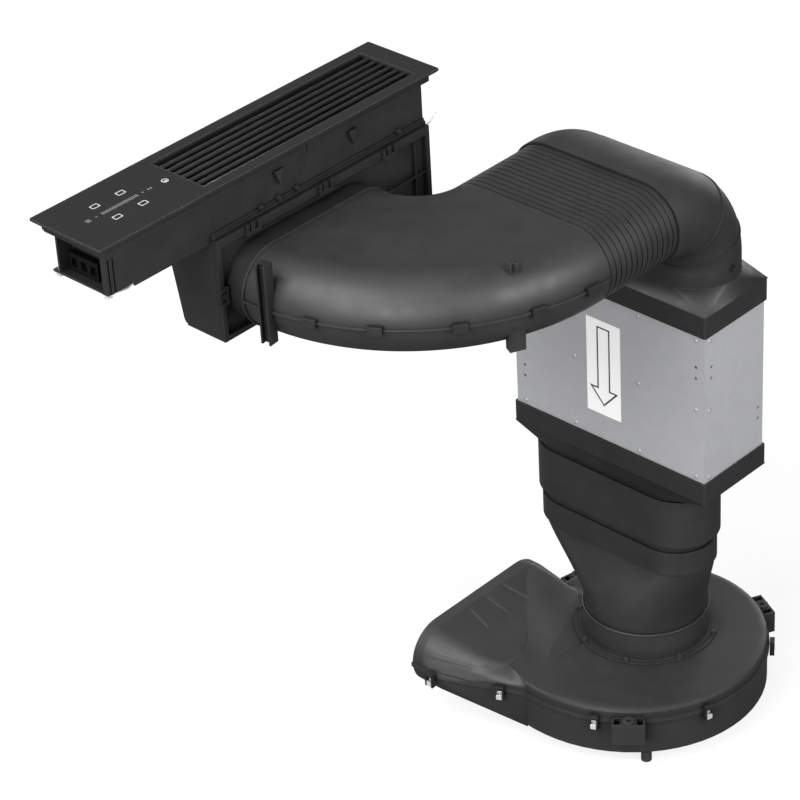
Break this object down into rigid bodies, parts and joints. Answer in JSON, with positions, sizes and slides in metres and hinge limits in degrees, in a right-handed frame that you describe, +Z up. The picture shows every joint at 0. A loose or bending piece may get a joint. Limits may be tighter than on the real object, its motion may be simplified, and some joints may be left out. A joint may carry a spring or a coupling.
{
  "type": "downdraft vent",
  "caption": "Worktop downdraft vent: black glass inlet plate over a suction tower, flat duct with two bends, steel carbon filter box and a plinth fan.",
  "frame": {"origin": "centre of the cover plate's lower face, which rests on the worktop", "axes": "+Z up out of the worktop; +Y along the plate towards the rear, away from the touch controls; +X to the side that the duct leaves from"},
  "size_m": [0.4504, 0.7996, 0.8568],
  "materials": {
    "black_glass": "polished, printed black underneath",
    "black_plastic": "fine moulded texture",
    "grey_plastic": "fine moulded texture",
    "housing_plastic": "moulded, slight sheen",
    "galvanised_steel": "rolled sheet",
    "bright_steel": "plated",
    "mesh_aluminium": "expanded sheet",
    "soft_rubber": "matt",
    "board": "lacquered",
    "carbon": "granular",
    "motor_metal": "lacquered"
  },
  "bodies": {
    "vent": {"cover_plate": "black_glass", "plate_carrier": "black_plastic", "touch_board": "board", "mounting_frame": "black_plastic", "suction_tower": "grey_plastic", "control_housing": "black_plastic", "socket_block": "black_plastic", "power_board": "board", "board_parts": "motor_metal", "clamp_straps": "bright_steel", "clamp_screws": "bright_steel", "end_spring": "bright_steel", "guide_rail": "black_plastic", "duct_flange": "grey_plastic", "flange_clips": "black_plastic", "flange_gasket": "soft_rubber", "elbow_upper_shell": "housing_plastic", "elbow_lower_shell": "housing_plastic", "elbow_clips": "black_plastic", "elbow_post": "black_plastic", "ribbed_duct": "housing_plastic", "vertical_elbow": "housing_plastic", "box_top_cap": "housing_plastic", "box_rear_shell": "galvanised_steel", "box_front_panel": "galvanised_steel", "box_rivets": "bright_steel", "carbon_filters": "carbon", "filter_rack": "galvanised_steel", "box_bottom_cap": "housing_plastic", "flat_sleeve": "housing_plastic", "transition_piece": "housing_plastic", "transition_gasket": "soft_rubber", "fan_collar": "black_plastic", "collar_screws": "black_plastic", "inlet_cone": "black_plastic", "fan_upper_shell": "housing_plastic", "fan_lower_shell": "housing_plastic", "motor_mount": "galvanised_steel", "motor_stator": "motor_metal", "shell_latches": "black_plastic", "spring_clips": "bright_steel", "lug_grommets": "soft_rubber", "rubber_feet": "soft_rubber"},
    "grille": {"inlet_grille": "black_plastic"},
    "grease_filter": {"filter_frame": "galvanised_steel", "filter_mesh": "mesh_aluminium"},
    "tray": {"collecting_tray": "grey_plastic"},
    "wheel": {"motor_shaft": "bright_steel", "rotor_cup": "motor_metal", "impeller": "grey_plastic"}
  },
  "joints": [
    {"name": "grille_lift", "type": "slide", "parent": "vent", "child": "grille", "axis": [0, 0, 1], "range_m": [0, 0.1]},
    {"name": "filter_lift", "type": "slide", "parent": "vent", "child": "grease_filter", "axis": [0, 0, 1], "range_m": [0, 0.06]},
    {"name": "tray_drop", "type": "slide", "parent": "vent", "child": "tray", "axis": [0, 0, -1], "range_m": [0, 0.04]},
    {"name": "impeller_spin", "type": "hinge", "parent": "vent", "child": "wheel", "pos_m": [0.2307, 0.3983, -0.8368], "axis": [0, 0, 1], "continuous": true}
  ],
  "couplings": [
    {"joint": "filter_lift", "follows": "grille_lift", "ratio": 0.6}
  ]
}
